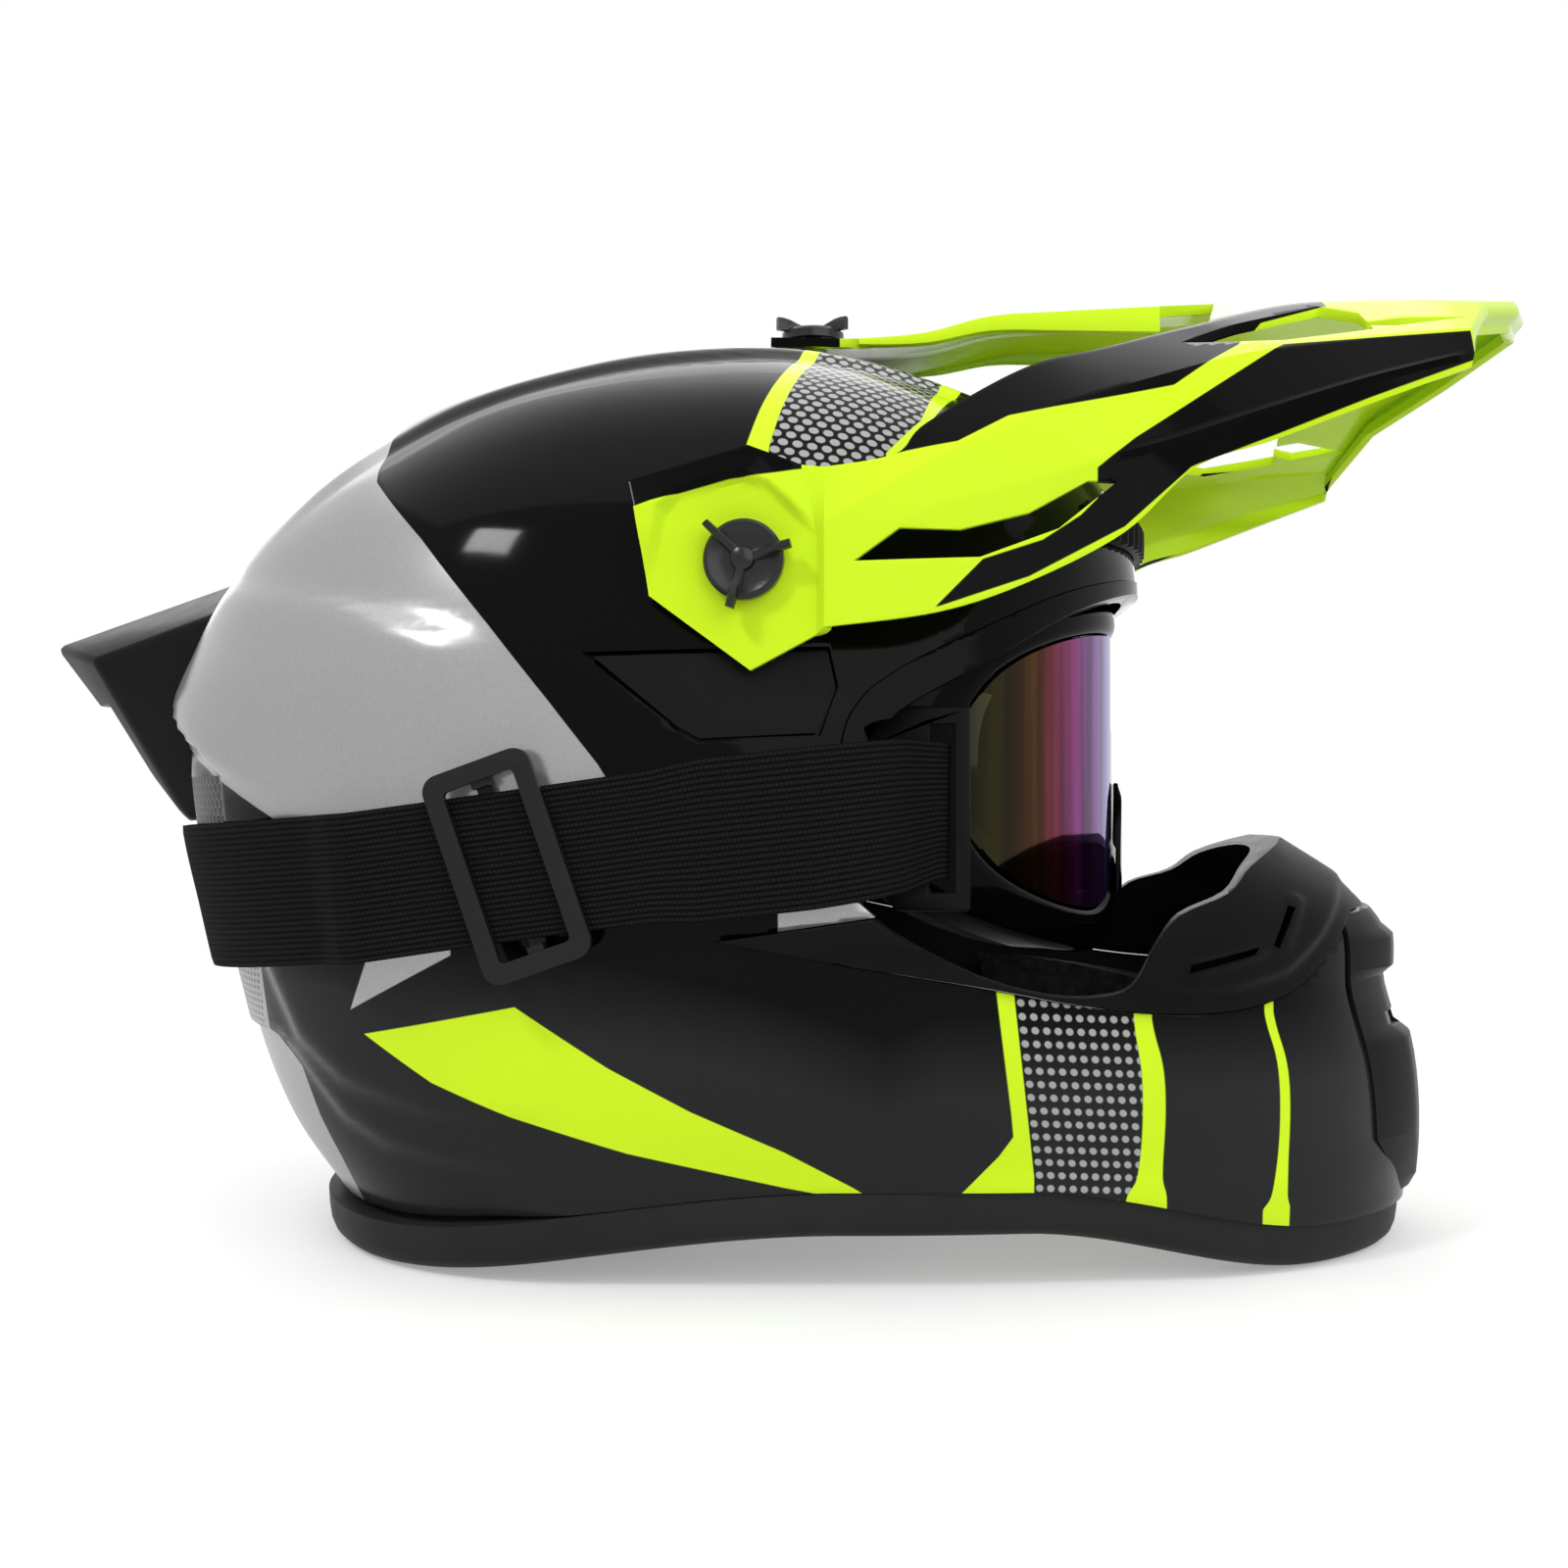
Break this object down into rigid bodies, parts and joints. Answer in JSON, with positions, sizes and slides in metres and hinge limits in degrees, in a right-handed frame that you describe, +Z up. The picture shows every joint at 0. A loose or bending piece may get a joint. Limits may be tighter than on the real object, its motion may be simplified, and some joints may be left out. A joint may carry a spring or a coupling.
{
  "type": "motocross helmet with goggles",
  "caption": "Off-road motorcycle helmet with a long tilting peak, chin bar, foam and cloth liners, chin strap, and goggles held by a wide webbing strap with a slider.",
  "frame": {"origin": "on the table, under the middle of the helmet's box", "axes": "+X forward, the way the wearer looks; +Y to the wearer's left; +Z up"},
  "size_m": [0.4444, 0.25, 0.2646],
  "materials": {
    "shell": "gloss",
    "visor": "gloss",
    "knob": "satin",
    "rubber_trim": "satin",
    "gloss_trim": "gloss",
    "soft_moulding": "satin",
    "satin_cover": "satin",
    "vent_mesh": "satin",
    "goggle_frame": "gloss",
    "goggle_lens": "gloss",
    "face_foam": "matte",
    "strap_webbing": "matte",
    "slider": "satin",
    "insert": "satin",
    "shell_foam": "matte",
    "padding": "matte",
    "chin_webbing": "matte",
    "ring_steel": "satin"
  },
  "bodies": {
    "helmet": {"outer_shell": "shell", "bottom_trim": "rubber_trim", "eyeport_trim": "gloss_trim", "mouth_guard": "soft_moulding", "chin_vent_cover": "satin_cover", "temple_cover_right": "satin_cover", "temple_cover_left": "satin_cover", "rear_spoiler": "satin_cover", "rear_vent_mesh": "vent_mesh", "brow_vent": "soft_moulding", "goggle_strap": "strap_webbing", "visor_insert_right": "insert", "visor_insert_left": "insert", "visor_insert_top": "insert", "eps_liner": "shell_foam", "chin_eps": "shell_foam", "comfort_liner": "padding", "cheek_pad_right": "padding", "cheek_pad_left": "padding", "neck_roll": "padding", "chin_strap_right": "chin_webbing", "chin_strap_left": "chin_webbing", "d_ring_outer": "ring_steel", "d_ring_inner": "ring_steel", "strap_rivet_right": "ring_steel", "strap_rivet_left": "ring_steel", "chin_vent_mesh": "vent_mesh"},
    "visor": {"visor": "visor"},
    "knob_right": {"visor_knob_right": "knob"},
    "knob_left": {"visor_knob_left": "knob"},
    "knob_top": {"visor_knob_top": "knob"},
    "goggles": {"goggle_frame": "goggle_frame", "goggle_lens": "goggle_lens", "goggle_nose_guard": "goggle_frame", "goggle_outrigger_right": "goggle_frame", "goggle_outrigger_left": "goggle_frame", "goggle_foam": "face_foam"},
    "slider": {"strap_slider": "slider"}
  },
  "joints": [
    {"name": "visor_tilt", "type": "hinge", "parent": "helmet", "child": "visor", "pos_m": [0.0142, 0, 0.1769], "axis": [0, -1, 0], "range_deg": [-3, 3]},
    {"name": "knob_right_turn", "type": "hinge", "parent": "helmet", "child": "knob_right", "pos_m": [0.0142, 0, 0.1769], "axis": [0, -1, 0], "continuous": true},
    {"name": "knob_left_turn", "type": "hinge", "parent": "helmet", "child": "knob_left", "pos_m": [0.0142, 0, 0.1769], "axis": [0, 1, 0], "continuous": true},
    {"name": "knob_top_turn", "type": "hinge", "parent": "helmet", "child": "knob_top", "pos_m": [0.0175, 0, 0.2579], "axis": [0, 0, 1], "continuous": true},
    {"name": "goggles_pull", "type": "slide", "parent": "helmet", "child": "goggles", "axis": [1, 0, 0], "range_m": [0, 0.006], "stiffness_N_per_m": 120, "springref_m": -0.02, "deforming": ["goggle_strap"]},
    {"name": "slider_slide", "type": "slide", "parent": "helmet", "child": "slider", "axis": [0.9907, 0, 0.1357], "range_m": [-0.012, 0.012]}
  ]
}
